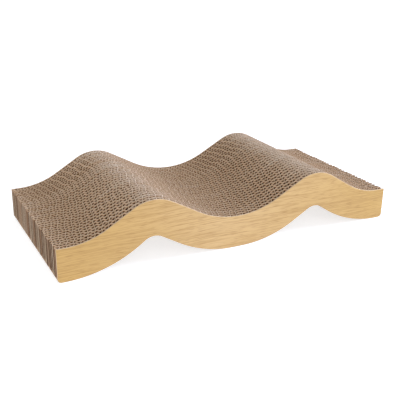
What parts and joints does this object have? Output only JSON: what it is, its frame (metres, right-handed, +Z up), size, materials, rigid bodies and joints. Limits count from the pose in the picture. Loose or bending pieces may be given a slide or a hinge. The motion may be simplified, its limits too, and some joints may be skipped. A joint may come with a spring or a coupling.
{
  "type": "cardboard cat scratcher",
  "caption": "Wave-shaped cat scratcher of corrugated cardboard sheets glued side by side between two wood-grain side boards; two humps with arches under them.",
  "frame": {"origin": "centre of the footprint, on the floor", "axes": "+X along the length over the two humps, +Y from the front side board to the rear one, +Z up"},
  "size_m": [0.44, 0.202, 0.077],
  "materials": {
    "side_board": "wood-grain print, satin",
    "corrugated_cardboard": "raw kraft paper, matt"
  },
  "bodies": {
    "root": {"side_board_front": "side_board", "side_board_rear": "side_board", "sheet_01": "corrugated_cardboard", "sheet_02": "corrugated_cardboard", "sheet_03": "corrugated_cardboard", "sheet_04": "corrugated_cardboard", "sheet_05": "corrugated_cardboard", "sheet_06": "corrugated_cardboard", "sheet_07": "corrugated_cardboard", "sheet_08": "corrugated_cardboard", "sheet_09": "corrugated_cardboard", "sheet_10": "corrugated_cardboard", "sheet_11": "corrugated_cardboard", "sheet_12": "corrugated_cardboard", "sheet_13": "corrugated_cardboard", "sheet_14": "corrugated_cardboard", "sheet_15": "corrugated_cardboard", "sheet_16": "corrugated_cardboard", "sheet_17": "corrugated_cardboard", "sheet_18": "corrugated_cardboard", "sheet_19": "corrugated_cardboard", "sheet_20": "corrugated_cardboard", "sheet_21": "corrugated_cardboard", "sheet_22": "corrugated_cardboard", "sheet_23": "corrugated_cardboard", "sheet_24": "corrugated_cardboard", "sheet_25": "corrugated_cardboard", "sheet_26": "corrugated_cardboard", "sheet_27": "corrugated_cardboard", "sheet_28": "corrugated_cardboard", "sheet_29": "corrugated_cardboard", "sheet_30": "corrugated_cardboard", "sheet_31": "corrugated_cardboard", "sheet_32": "corrugated_cardboard", "sheet_33": "corrugated_cardboard", "sheet_34": "corrugated_cardboard"}
  },
  "joints": []
}
